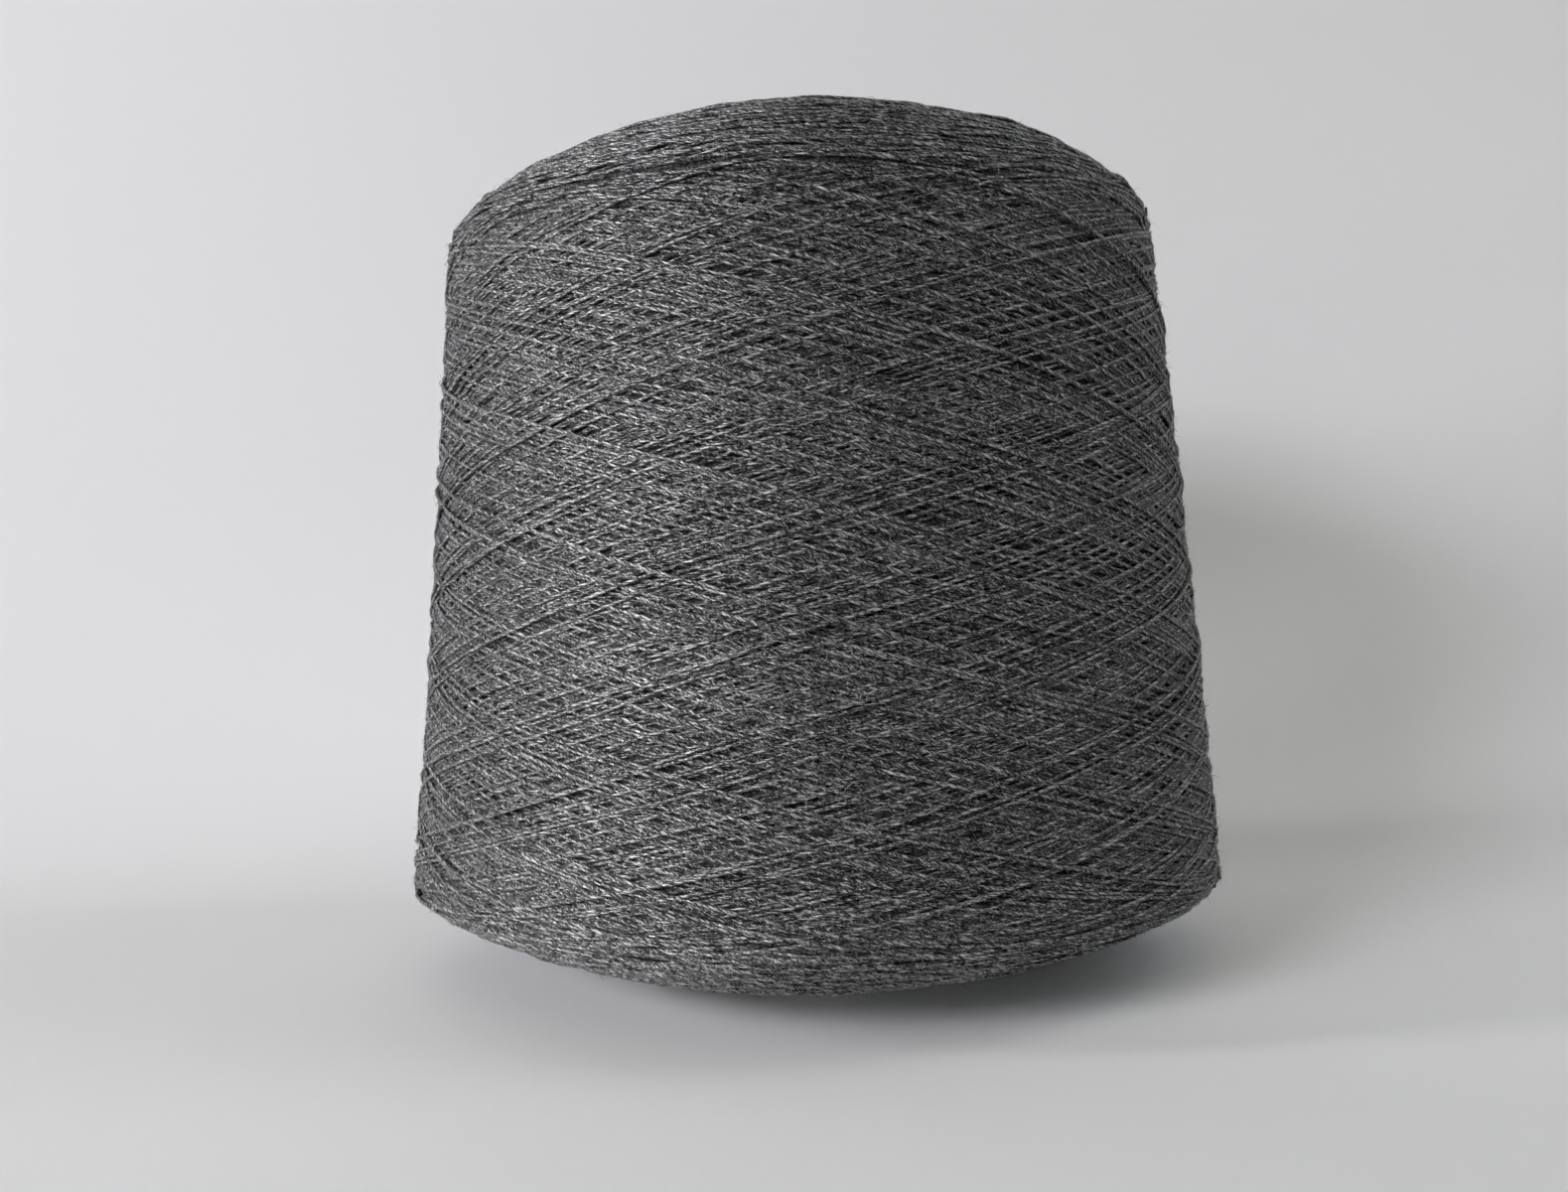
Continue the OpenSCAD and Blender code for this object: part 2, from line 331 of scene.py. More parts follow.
# ---------- from the bed to places in space ----------
BOW, BOW_MID, BOW_REACH = 0.9, 85.0, 80.0
BOW_FROM_R, LIFT_FROM_R, FREE_WITHIN = 34, 40, 20
SLUMP, SLUMP_FROM_Z, SLUMP_TO_Z, SLUMP_REACH = 1.5, 128.0, 150.0, 46.0
CREST_SLUMP, CREST_FROM_Z, CREST_TO_Z = 0.8, 156.0, 164.0
BASE_LIFT, BASE_LIFT_REACH, BASE_LIFT_FROM_Z, BASE_LIFT_TO_Z = 1.6, 75.0, 14.0, 38.0
FIRM_DEPTH, FILLED_DEPTH = 0.1, 0.27
CREASE_TURNS = (236, 248, 269, 295)
CREASE_PLACES = (0.3, 0.2, -0.6, -2.3)
CREASE_FROM, CREASE_TO, CREASE_FADE = 230, 302, 14
CREASE_DEPTH, CREASE_HALF = 0.95, 0.5


def squashed(height):
    """Heights over the outline, with the deeper layers closer together, as soft yarn fills its gaps."""
    below = np.minimum(height + FIRM_DEPTH, 0)
    return np.maximum(height, -FIRM_DEPTH) - FILLED_DEPTH * (1 - np.exp(below / FILLED_DEPTH))


def crease(s, turn):
    """Depth of the fine groove that the photograph shows where the side meets the top, over the front."""
    degrees = np.degrees(turn) % 360
    line = SHOULDER_S + np.interp(degrees, CREASE_TURNS, CREASE_PLACES)
    reach = eased((degrees - CREASE_FROM) / CREASE_FADE) * eased((CREASE_TO - degrees) / CREASE_FADE)
    return CREASE_DEPTH * reach * np.exp(-(((s - line) / CREASE_HALF) ** 2))


def droop(x, across, up):
    """How far down each point hangs: the shoulder droops at the left, the base edge rises there."""
    slump = SLUMP * eased(-x / SLUMP_REACH) * eased((up - SLUMP_FROM_Z) / (SLUMP_TO_Z - SLUMP_FROM_Z))
    low = 1 - eased((up - BASE_LIFT_FROM_Z) / (BASE_LIFT_TO_Z - BASE_LIFT_FROM_Z))
    slump -= BASE_LIFT * low * eased(-x / BASE_LIFT_REACH) * eased((across - LIFT_FROM_R) / FREE_WITHIN)
    return slump + CREST_SLUMP * eased((up - CREST_FROM_Z) / (CREST_TO_Z - CREST_FROM_Z))


def in_space(s, turn, height):
    """Points in mm for places on the bed, at a height over the outline, and the outward directions there."""
    r, z, out_r, out_z = (np.interp(s, LINE_S, line) for line in (LINE_R, LINE_Z, OUT_R, OUT_Z))
    length = np.hypot(out_r, out_z)
    out_r, out_z = out_r / length, out_z / length
    across = r + out_r * height
    up = z + out_z * height
    lean = BOW * ((up - BOW_MID) / BOW_REACH) ** 2 * np.clip((across - BOW_FROM_R) / FREE_WITHIN, 0, 1)
    cos, sin = np.cos(turn), np.sin(turn)
    x = across * cos - lean
    points = np.stack([x, across * sin, up - droop(x, across, up)], -1)
    return points, np.stack([out_r * cos, out_r * sin, out_z], -1)


def unit(v):
    return v / np.maximum(np.linalg.norm(v, axis=-1, keepdims=True), 1e-12)


# ---------- meshes ----------
YARN_WIDE, YARN_FLAT = 0.31, 0.28
SIDES = 6
BAKE_ROWS, CAP_CELL = 128, 0.8
ROW_MARGIN, ROW_USED = 0.06, 0.88
CAP_LONG, CAP_HIGH = 0.45, 0.44


def linked(name, data):
    obj = bpy.data.objects.new(name, data)
    bpy.context.scene.collection.objects.link(obj)
    return obj


def mesh_of(name, points, corners, sizes):
    """A smooth mesh from points in mm, all faces' corners in one row, and each face's number of corners."""
    mesh = bpy.data.meshes.new(name)
    mesh.vertices.add(len(points))
    mesh.vertices.foreach_set("co", (points * MM).astype(np.float32).ravel())
    mesh.loops.add(len(corners))
    mesh.loops.foreach_set("vertex_index", corners.astype(np.int32))
    mesh.polygons.add(len(sizes))
    starts = np.concatenate([[0], np.cumsum(sizes)[:-1]])
    mesh.polygons.foreach_set("loop_start", starts.astype(np.int32))
    mesh.polygons.foreach_set("use_smooth", np.ones(len(sizes), bool))
    mesh.update(calc_edges=True)
    return mesh


def add_layout(mesh, name, places):
    mesh.uv_layers.new(name=name).data.foreach_set("uv", places.astype(np.float32).ravel())


def boxes(x0, x1, y0, y1):
    """The four corners of each box, in the order of a tube's face corners."""
    return np.stack([np.stack([x0, y0], -1), np.stack([x0, y1], -1),
                     np.stack([x1, y1], -1), np.stack([x1, y0], -1)], 2)


class TubeSet:
    """Tubes gathered into one mesh, with a place along and round the yarn for each face corner."""

    def __init__(self):
        self.points, self.quads, self.caps, self.uv, self.tone, self.lift = [], [], [], [], [], []
        self.lengths = []
        self.rings = 0

    def add(self, centres, out, along_mm, tone, height, wide=YARN_WIDE, flat=YARN_FLAT):
        count = len(centres)
        tangent = unit(np.gradient(centres, axis=0))
        normal = unit(out - tangent * (out * tangent).sum(-1, keepdims=True))
        side = np.cross(tangent, normal)
        angle = math.pi + TAU * np.arange(SIDES) / SIDES
        ring = (centres[:, None] + flat * np.cos(angle)[None, :, None] * normal[:, None]
                + wide * np.sin(angle)[None, :, None] * side[:, None])
        self.points.append(ring.reshape(-1, 3))
        self.tone.append(np.full(count * SIDES, tone, np.float32))
        # Each point's height over the outline, which the material turns into painted light and shade.
        self.lift.append((height + flat * np.cos(angle)[None, :]).astype(np.float32).ravel())
        self.add_faces(count, along_mm)
        self.rings += count

    def add_faces(self, count, along_mm):
        first = self.rings * SIDES
        k = np.arange(count - 1)[:, None]
        i = np.arange(SIDES)[None, :]
        a = first + k * SIDES + i
        b = first + k * SIDES + (i + 1) % SIDES
        self.quads.append(np.stack([a, b, b + SIDES, a + SIDES], -1).reshape(-1, 4))
        v0, v1 = i / SIDES + 0 * k, (i + 1) / SIDES + 0 * k
        u0, u1 = along_mm[:-1][:, None] + 0 * i, along_mm[1:][:, None] + 0 * i
        self.uv.append(boxes(u0, u1, v0, v1).reshape(-1, 2))
        self.lengths.append(np.diff(along_mm))
        end = first + (count - 1) * SIDES
        self.caps.append([first + SIDES - 1 - np.arange(SIDES), end + np.arange(SIDES)])

    def faces(self):
        return sum(len(q) for q in self.quads)

    def unrolled(self):
        """A layout for baking: the tubes end to end along narrow rows, with a cell at both ends for caps."""
        parts = [np.concatenate([[CAP_CELL], lengths, [CAP_CELL]]) for lengths in self.lengths]
        sizes = np.concatenate(parts)
        is_cap = np.concatenate([np.arange(len(part)) % (len(part) - 1) == 0 for part in parts])
        start = np.concatenate([[0], np.cumsum(sizes)[:-1]])
        row_length = sizes.sum() / (BAKE_ROWS - 1)
        row = np.floor(start / row_length)
        scale = 1 / (row_length + sizes.max())
        left, wide = (start - row * row_length) * scale, sizes * scale
        y = (row[:, None] + ROW_MARGIN + ROW_USED * (np.arange(SIDES + 1) / SIDES)) / BAKE_ROWS
        x0, x1 = np.repeat(left[:, None], SIDES, 1), np.repeat((left + wide)[:, None], SIDES, 1)
        quads = boxes(x0, x1, y[:, :-1], y[:, 1:])[~is_cap]
        angle = TAU * np.arange(SIDES) / SIDES
        caps = np.stack([(left + wide / 2)[:, None] + CAP_LONG * wide[:, None] * np.cos(angle),
                         (row[:, None] + 0.5 + CAP_HIGH * np.sin(angle)) / BAKE_ROWS], -1)[is_cap]
        return np.concatenate([quads.reshape(-1, 2), caps.reshape(-1, 2)])

    def make(self, name, material):
        quads = np.concatenate(self.quads)
        caps = np.array([c for pair in self.caps for c in pair])
        sizes = np.concatenate([np.full(len(quads), 4), np.full(len(caps), SIDES)])
        corners = np.concatenate([quads.ravel(), caps.ravel()])
        mesh = mesh_of(name, np.concatenate(self.points), corners, sizes)
        add_layout(mesh, "UVMap", np.concatenate([np.concatenate(self.uv), np.zeros((caps.size, 2))]))
        add_layout(mesh, "OFBake", self.unrolled())
        for key, values in (("tone", self.tone), ("lift", self.lift)):
            mesh.attributes.new(key, "FLOAT", "POINT").data.foreach_set("value", np.concatenate(values))
        mesh.materials.append(material)
        return linked(name, mesh)


# ---------- materials ----------
class Nodes:
    """A short way to build a material's nodes."""

    def __init__(self, name):
        self.material = bpy.data.materials.new(name)
        self.material.use_nodes = True
        self.tree = self.material.node_tree
        self.shader = self.tree.nodes["Principled BSDF"]

    def add(self, kind, **inputs):
        """A node. Names that begin with p_ are its own properties, and the others are its inputs."""
        node = self.tree.nodes.new(kind)
        for key, value in inputs.items():
            if key.startswith("p_"):
                setattr(node, key[2:], value)
            else:
                self.plug(node.inputs[key.replace("_", " ")], value)
        return node

    def plug(self, socket, value):
        if isinstance(value, bpy.types.NodeSocket):
            self.tree.links.new(value, socket)
        else:
            socket.default_value = value

    def surface(self, name, value):
        self.plug(self.shader.inputs[name], value)

    def place(self):
        return self.add("ShaderNodeTexCoord").outputs["Object"]

    def attribute(self, name):
        return self.add("ShaderNodeAttribute", p_attribute_name=name).outputs["Fac"]

    def math(self, operation, a, b=0.0):
        node = self.tree.nodes.new("ShaderNodeMath")
        node.operation = operation
        for socket, value in zip(node.inputs, (a, b)):
            self.plug(socket, value)
        return node.outputs[0]

    def offset(self, operation, vector, by):
        """A vector with a constant added to it or multiplied by it."""
        node = self.add("ShaderNodeVectorMath", p_operation=operation, Vector=vector)
        node.inputs[1].default_value = by
        return node.outputs[0]

    def noise(self, vector, scale, detail, roughness=0.5):
        node = self.add("ShaderNodeTexNoise", Vector=vector, Scale=scale, Detail=detail, Roughness=roughness)
        return node.outputs["Fac"]

    def vector(self, x, y, z=0.0):
        return self.add("ShaderNodeCombineXYZ", X=x, Y=y, Z=z).outputs[0]

    def span(self, value, low, high, to_low=0.0, to_high=1.0, smooth=False):
        node = self.add("ShaderNodeMapRange", Value=value)
        node.interpolation_type = "SMOOTHSTEP" if smooth else "LINEAR"
        for key, v in (("From Min", low), ("From Max", high), ("To Min", to_low), ("To Max", to_high)):
            self.plug(node.inputs[key], v)
        return node.outputs[0]

    def mix(self, factor, a, b):
        node = self.tree.nodes.new("ShaderNodeMix")
        node.data_type = "RGBA"
        self.plug(node.inputs["Factor"], factor)
        self.plug(node.inputs["A"], a)
        self.plug(node.inputs["B"], b)
        return node.outputs["Result"]

    def bump(self, height, distance, strength):
        node = self.add("ShaderNodeBump", Height=height, Distance=distance, Strength=strength)
        self.surface("Normal", node.outputs[0])


def gloss(n, roughness, specular, sheen=0.0, ior=1.5):
    n.surface("IOR", ior)
    n.surface("Roughness", roughness)
    n.surface("Specular IOR Level", specular)
    n.surface("Sheen Weight", sheen)
    n.surface("Sheen Roughness", 0.5)


CHARCOAL = (0.0018, 0.0019, 0.0021, 1)
MID_GREY = (0.0088, 0.0091, 0.0096, 1)
PALE_GREY = (0.38, 0.38, 0.377, 1)
# Painted shade: the colour that the ply grooves and the low-lying strands are darkened towards.
PAINTED_SHADE_COLOUR = (0.002, 0.002, 0.0022, 1)
DULL, BRIGHT = (0.05, 0.05, 0.05, 1), (1, 1, 1, 1)
PLY_PITCH = 4.2
GROOVE_SPAN = (0.25, 0.5)
FIBRE_LONG, FIBRES_A_PLY, FIBRE_SPAN, FIBRE_PALE = 0.75, 5.5, (0.44, 0.6), 0.9
PATCH_LONG, PATCH_SHIFT, PATCH_SPAN = 4.0, 7.3, (0.3, 0.7, -0.35, 0.3)
# Painted light and shade from each point's height over the outline: low-lying strands darker, proud strands
# paler.
LOW_STRAND_SHADE_SPAN, LIFT_LIGHT_SHADE_SPAN = (0.05, -0.35), (-0.1, 0.25, -0.06, 0.08)
# How strongly the painted shade darkens the ply grooves and the low-lying strands.
GROOVE_SHADE, DEEP_SHADE = 0.8, 0.78
GAP_SCALE, GAP_SPAN = 2300.0, (0.3, 0.7, -0.24, 0.15)
STRAY_NOISES, STRAY_SPAN = ((1100.0, 0.0), (1700.0, 7.3)), (0.0, 0.03, 0.25, 0.0)
DARK_TO_MID, MID_TO_PALE, SHINE_SPAN = (0.0, 0.4), (0.4, 1.0), (0.0, 0.9)
FINE_HEIGHT, YARN_BUMP = 0.9, (0.00012, 0.8)


def stray_fibres(n):
    """Curly stray fibres, about -0.24 to 0.65: the contour lines of two noises, and dark gaps."""
    place = n.place()
    total = n.span(n.noise(place, GAP_SCALE, 2.0, 0.6), *GAP_SPAN)
    for scale, shift in STRAY_NOISES:
        field = n.noise(n.offset("ADD", place, (shift, shift, shift)), scale, 1.0)
        off = n.math("ABSOLUTE", n.math("SUBTRACT", field, 0.5))
        total = n.math("ADD", total, n.span(off, *STRAY_SPAN, smooth=True))
    return total


def ply_fields(n):
    """The grooves between the two plies, which get the bump and a painted shade, the fine fibres along each
    ply, and its slow changes of tone.
    """
    uv = n.add("ShaderNodeUVMap", p_uv_map="UVMap").outputs[0]
    u, v, _ = n.add("ShaderNodeSeparateXYZ", Vector=uv).outputs
    tone = n.attribute("tone")
    plies = n.math("MULTIPLY", n.math("SUBTRACT", v, n.math("DIVIDE", u, PLY_PITCH)), 2.0)
    from_middle = n.math("ABSOLUTE", n.math("SUBTRACT", n.math("FRACT", plies), 0.5))
    groove = n.span(from_middle, *GROOVE_SPAN, smooth=True)
    along, across = n.math("DIVIDE", u, FIBRE_LONG), n.math("MULTIPLY", plies, FIBRES_A_PLY)
    fine = n.noise(n.vector(along, across, tone), 1.0, 3.0, 0.7)
    along, across = n.math("DIVIDE", u, PATCH_LONG), n.math("MULTIPLY", n.math("FLOOR", plies), PATCH_SHIFT)
    patch = n.span(n.noise(n.vector(along, across, tone), 1.0, 1.0), *PATCH_SPAN)
    return groove, fine, patch


def yarn_material():
    """Two-ply marl yarn: painted shade in the grooves between the plies and on low-lying strands, painted
    light on proud strands, and pale fibres lying along each ply.
    """
    n = Nodes("marl_yarn_strand")
    groove, fine, patch = ply_fields(n)
    lift = n.attribute("lift")
    # Painted shade: strands lying low under the finished surface are darkened by their height.
    painted_gap_shade = n.span(lift, *LOW_STRAND_SHADE_SPAN, smooth=True)
    fibre = n.span(fine, *FIBRE_SPAN, smooth=True)
    pale = n.math("ADD", n.math("MULTIPLY", fibre, FIBRE_PALE), patch)
    pale = n.math("ADD", pale, stray_fibres(n))
    # Painted light and shade: proud strands are made paler, low-lying ones a little darker.
    pale = n.math("ADD", pale, n.span(lift, *LIFT_LIGHT_SHADE_SPAN))
    body = n.mix(n.span(pale, *DARK_TO_MID), CHARCOAL, MID_GREY)
    body = n.mix(n.span(pale, *MID_TO_PALE), body, PALE_GREY)
    # Painted shade, in the grooves between the plies and on low-lying strands.
    shade = n.math("MAXIMUM", n.math("MULTIPLY", groove, GROOVE_SHADE), n.math("MULTIPLY", painted_gap_shade, DEEP_SHADE))
    n.surface("Base Color", n.mix(shade, body, PAINTED_SHADE_COLOUR))
    shine = n.mix(n.span(pale, *SHINE_SPAN), DULL, BRIGHT)
    # The gloss is dulled where the shade is painted, too.
    n.surface("Specular Tint", n.mix(shade, shine, DULL))
    lump = n.math("ADD", n.math("MULTIPLY", groove, -1.0), n.math("MULTIPLY", fine, FINE_HEIGHT))
    n.bump(lump, *YARN_BUMP)
    gloss(n, 0.38, 1.0, sheen=0.04, ior=2.05)
    return n.material


# Painted shade: the inner layers are coloured as the yarn looks in shadow, much darker than the strands,
# with a random speckle.
CORE_SHADE_DARK, CORE_SHADE_LIGHT = (0.004, 0.004, 0.0044, 1), (0.05, 0.05, 0.051, 1)
SPECKLE_SCALE, SPECKLE_SPAN = 1600.0, (0.42, 0.66)


def core_material():
    n = Nodes("marl_yarn_core")
    speckle = n.noise(n.place(), SPECKLE_SCALE, 3.0, 0.6)
    # Painted shade, speckled: the colour of the yarn in shadow.
    n.surface("Base Color", n.mix(n.span(speckle, *SPECKLE_SPAN), CORE_SHADE_DARK, CORE_SHADE_LIGHT))
    gloss(n, 0.9, 0.2)
    return n.material


def fibre_material(number, grey):
    """One shade of the marl's loose fibres, each thinner than a pixel of the photograph."""
    n = Nodes(f"marl_yarn_fibre_{number}")
    n.surface("Base Color", (grey, grey, grey * 1.02, 1))
    gloss(n, 0.45, 0.8)
    return n.material


WRAP_PITCH, SEAM_WIDTH = 26.0, 0.35
PAPER_PLY, RIM_SKIN, FORMER_SLOPE = 0.4, 0.7, math.tan(math.radians(4.333))
PAPER_DARK, PAPER_LIGHT = (0.4, 0.31, 0.21, 1), (0.6, 0.5, 0.37, 1)
FLECK, RIM_LINE, SEAM_LINE = (0.16, 0.12, 0.08, 1), (0.2, 0.15, 0.1, 1), (0.14, 0.1, 0.07, 1)
FLECK_SHARE, RIM_SHARE, SEAM_SHARE = 0.6, 0.25, 0.7
STREAKS_AROUND, STREAKS_ALONG, STREAK_SPAN = 30.0, 900.0, (0.3, 0.7)
FLECK_SCALE, FLECK_SPAN, PLY_SPAN = 1500.0, (0.66, 0.74), (0.3, 0.6)
STREAK_HEIGHT, PAPER_BUMP = 0.3, (0.0002, 0.5)


def paper_seam(n, round_it, z):
    """The edge of the paper's wrapping, which winds up the cone."""
    lean = n.math("DIVIDE", round_it, TAU)
    turns = n.math("SUBTRACT", n.math("DIVIDE", z, WRAP_PITCH * MM), lean)
    seam_off = n.math("ABSOLUTE", n.math("SUBTRACT", n.math("FRACT", turns), 0.5))
    return n.span(seam_off, 0.0, SEAM_WIDTH / WRAP_PITCH, 1.0, 0.0, smooth=True)


def paper_rim(n, x, y, z):
    """The plies of the paper, on all but its outer skin."""
    radius = n.math("SQRT", n.math("ADD", n.math("MULTIPLY", x, x), n.math("MULTIPLY", y, y)))
    ply = n.math("FRACT", n.math("DIVIDE", radius, PAPER_PLY * MM))
    outside = n.math("ADD", radius, n.math("MULTIPLY", z, FORMER_SLOPE))
    skin = n.math("GREATER_THAN", outside, (FORMER_BASE_R - RIM_SKIN) * MM)
    return n.math("MULTIPLY", n.span(ply, *PLY_SPAN, smooth=True), n.math("SUBTRACT", 1.0, skin))


def paper_material():
    """Rolled grey-brown board: a seam winding up the cone, fibres, flecks, and plies on its cut rims."""
    n = Nodes("rolled_paper")
    place = n.place()
    x, y, z = n.add("ShaderNodeSeparateXYZ", Vector=place).outputs
    round_it = n.math("ARCTAN2", y, x)
    streaks = n.vector(n.math("MULTIPLY", round_it, STREAKS_AROUND), n.math("MULTIPLY", z, STREAKS_ALONG))
    fibre = n.noise(streaks, 1.0, 4.0, 0.6)
    fleck = n.span(n.noise(place, FLECK_SCALE, 1.0), *FLECK_SPAN)
    seam = paper_seam(n, round_it, z)
    colour = n.mix(n.span(fibre, *STREAK_SPAN), PAPER_DARK, PAPER_LIGHT)
    colour = n.mix(n.math("MULTIPLY", fleck, FLECK_SHARE), colour, FLECK)
    colour = n.mix(n.math("MULTIPLY", paper_rim(n, x, y, z), RIM_SHARE), colour, RIM_LINE)
    n.surface("Base Color", n.mix(n.math("MULTIPLY", seam, SEAM_SHARE), colour, SEAM_LINE))
    n.bump(n.math("SUBTRACT", n.math("MULTIPLY", fibre, STREAK_HEIGHT), seam), *PAPER_BUMP)
    gloss(n, 0.85, 0.3)
    return n.material


# ---------- the pieces ----------
def take(piece, *nodes):
    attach(piece, "root")
    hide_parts(*nodes)


FACES_A_PIECE = 90000
HIDDEN_UNDER, LEAST_RINGS = 0.42, 3
MOST_START_MM, MOST_TONE = 500, 100


def seen(s, turn, height):
    """True where some of the strand's upper side lies near the finished bed's top, and one ring beyond."""
    shown = np.zeros(len(s), bool)
    for row, column, rise in beside(s, turn, READ_AT):
        shown |= bed[row, column] - (height + rise) < HIDDEN_UNDER
    return shown | np.roll(shown, 1) | np.roll(shown, -1)


def stretches(mask):
    """Start and end (past the last) of each run of True that is long enough for a tube."""
    edges = np.flatnonzero(np.diff(np.concatenate([[0], mask.astype(int), [0]])))
    return [(a, b) for a, b in zip(edges[::2], edges[1::2]) if b - a >= LEAST_RINGS]


def length_along(points):
    steps = np.linalg.norm(np.diff(points, axis=0), axis=1)
    return np.concatenate([[0], np.cumsum(steps)])


def gather_strands():
    """The seen parts of all strands, as sets of tubes for each part of the package."""
    rng = np.random.default_rng(SEED + 1)
    settle_bed()
    pressed = np.cumsum(np.array(settled)[::-1], axis=0)[::-1]
    sets = {}
    for s, turn, height, kind, at in strands:
        lifted = height - sample_blocks(pressed[at], s, turn)
        height = squashed(lifted) - crease(s, turn)
        points, out = in_space(s, turn, height)
        along = length_along(points) + rng.uniform(0, MOST_START_MM)
        tone = rng.uniform(0, MOST_TONE)
        for a, b in stretches(seen(s, turn, lifted)):
            group = sets.setdefault(kind, [TubeSet()])
            if group[-1].faces() > FACES_A_PIECE:
                group.append(TubeSet())
            group[-1].add(points[a:b], out[a:b], along[a:b], tone, height[a:b, None])
    return sets


def make_strands(material):
    tube_sets = gather_strands()
    for kind, group in tube_sets.items():
        for i, tubes in enumerate(group):
            take(tubes.make(f"winding_{kind}_{i + 1}", material), "outer_winding")
    everything = [tubes for group in tube_sets.values() for tubes in group]
    shown = sum(lengths.sum() for tubes in everything for lengths in tubes.lengths)
    faces = sum(tubes.faces() for tubes in everything)
    print(f"strands: {len(strands)}, shown {shown / 1000:.0f} m, {faces} quads")


CORE_AROUND, CORE_STEP = 360, 8
CORE_HEIGHT, CORE_CLEARANCE = -0.56, 0.12
WEAVE_HEIGHT, WEAVE_ALONG, WEAVE_AROUND = 0.12, 2.2, 60
CORE_EDGE_RISE, CORE_EDGE_AT, CORE_EDGE_HALF = 0.2, 0.5, 2.2


def core_points(rows):
    """Rings of points close under the strands, and outside the former."""
    s = np.repeat(LINE_S[rows], CORE_AROUND)
    turn = np.tile(TAU * np.arange(CORE_AROUND) / CORE_AROUND, len(rows))
    weave = (WEAVE_HEIGHT * np.sin(s * WEAVE_ALONG + turn * WEAVE_AROUND)
             + WEAVE_HEIGHT * np.sin(s * WEAVE_ALONG - turn * WEAVE_AROUND))
    near_edge = np.exp(-(((s - EDGE_S - CORE_EDGE_AT) / CORE_EDGE_HALF) ** 2))
    points, _ = in_space(s, turn, CORE_HEIGHT + CORE_EDGE_RISE * near_edge + weave)
    across = np.hypot(points[:, 0], points[:, 1])
    scale = np.maximum(across, former_r(points[:, 2]) + CORE_CLEARANCE) / across
    points[:, :2] *= scale[:, None]
    return points


def make_core(material):
    """The inner layers, close under the strands, closed by a bore that fits the former."""
    rows = np.arange(0, ROWS, CORE_STEP)
    k = np.arange(len(rows))[:, None]
    i = np.arange(CORE_AROUND)[None, :]
    ring, next_ring = k * CORE_AROUND, ((k + 1) % len(rows)) * CORE_AROUND
    after = (i + 1) % CORE_AROUND
    quads = np.stack([ring + i, ring + after, next_ring + after, next_ring + i], -1).reshape(-1, 4)
    mesh = mesh_of("winding_core", core_points(rows), quads.ravel(), np.full(len(quads), 4))
    u, v = (i + 0 * k) / CORE_AROUND, (k + 0 * i) / len(rows)
    right, up = 1 / CORE_AROUND, 1 / len(rows)
    add_layout(mesh, "OFBake", np.stack([u, v, u + right, v, u + right, v + up, u, v + up], -1))
    mesh.materials.append(material)
    take(linked("winding_core", mesh), "yarn_package")


FIBRES, FIBRE_JOINTS, FIBRE_SIDES = 64000, 4, 3
FIBRE_GREYS = (0.02, 0.05, 0.11, 0.2, 0.32, 0.5)
FIBRE_RADII, FIBRE_SHARES = (0.015, 0.022, 0.032, 0.048), (0.4, 0.38, 0.18, 0.04)
FIBRE_TAPER = (1.0, 1.1, 0.9, 0.35)
FACE_WEIGHT, ROOT_DEPTH = 0.55, 0.05
LAY_DEG, LAY_SPREAD, RISE_DEG = 16, 0.8, (8, 65)
FIBRE_LENGTH, FIBRE_LIMITS = (0.1, 0.45), (0.5, 4.0)
SIDE_BEND, DOWN_BEND, DOWN_PULL = 1.6, (0.5, 2.4), 1.2


def fibre_paths(rng, count):
    """Loose fibres: each starts on the winding's own surface and curls away from it and back."""
    weight = LINE_R * (FACE_WEIGHT + np.clip(OUT_R, 0, 1))
    s = np.interp(rng.uniform(0, 1, count), np.cumsum(weight) / weight.sum(), LINE_S)
    turn = rng.uniform(0, TAU, count)
    start, out = in_space(s, turn, squashed(bed[cells(s, turn)]) - ROOT_DEPTH)
    around = unit(np.cross(np.array([0.0, 0, 1]), out))
    up = np.cross(out, around)
    heading = rng.choice([-1, 1], count) * np.radians(LAY_DEG) + rng.normal(size=count) * LAY_SPREAD
    heading += math.pi * rng.integers(0, 2, count)
    rise = np.radians(rng.uniform(*RISE_DEG, count))
    length = np.clip(rng.lognormal(*FIBRE_LENGTH, count), *FIBRE_LIMITS)
    bend_side = rng.normal(size=count) * SIDE_BEND
    bend_down = rng.uniform(*DOWN_BEND, count)
    step = length / (FIBRE_JOINTS - 1)
    points = [start]
    for k in range(FIBRE_JOINTS - 1):
        share = (k + 0.5) / (FIBRE_JOINTS - 1)
        way = heading + bend_side * share
        lift = rise - bend_down * share * DOWN_PULL
        direction = (np.cos(lift) * np.cos(way))[:, None] * around
        direction += (np.cos(lift) * np.sin(way))[:, None] * up + np.sin(lift)[:, None] * out
        points.append(points[-1] + direction * step[:, None])
    return np.stack(points, 1), out


def fibre_rings(rng):
    """The points of every fibre's tube: fibre, joint, side, and place in mm."""
    paths, out = fibre_paths(rng, FIBRES)
    radius = np.array(FIBRE_TAPER)[None] * rng.choice(FIBRE_RADII, FIBRES, p=FIBRE_SHARES)[:, None]
    tangent = unit(np.gradient(paths, axis=1))
    side = unit(np.cross(tangent, out[:, None]) + 1e-9)
    normal = np.cross(side, tangent)
    angle = TAU * np.arange(FIBRE_SIDES) / FIBRE_SIDES
    return (paths[:, :, None] + radius[:, :, None, None]
            * (np.cos(angle)[None, None, :, None] * normal[:, :, None]
               + np.sin(angle)[None, None, :, None] * side[:, :, None]))


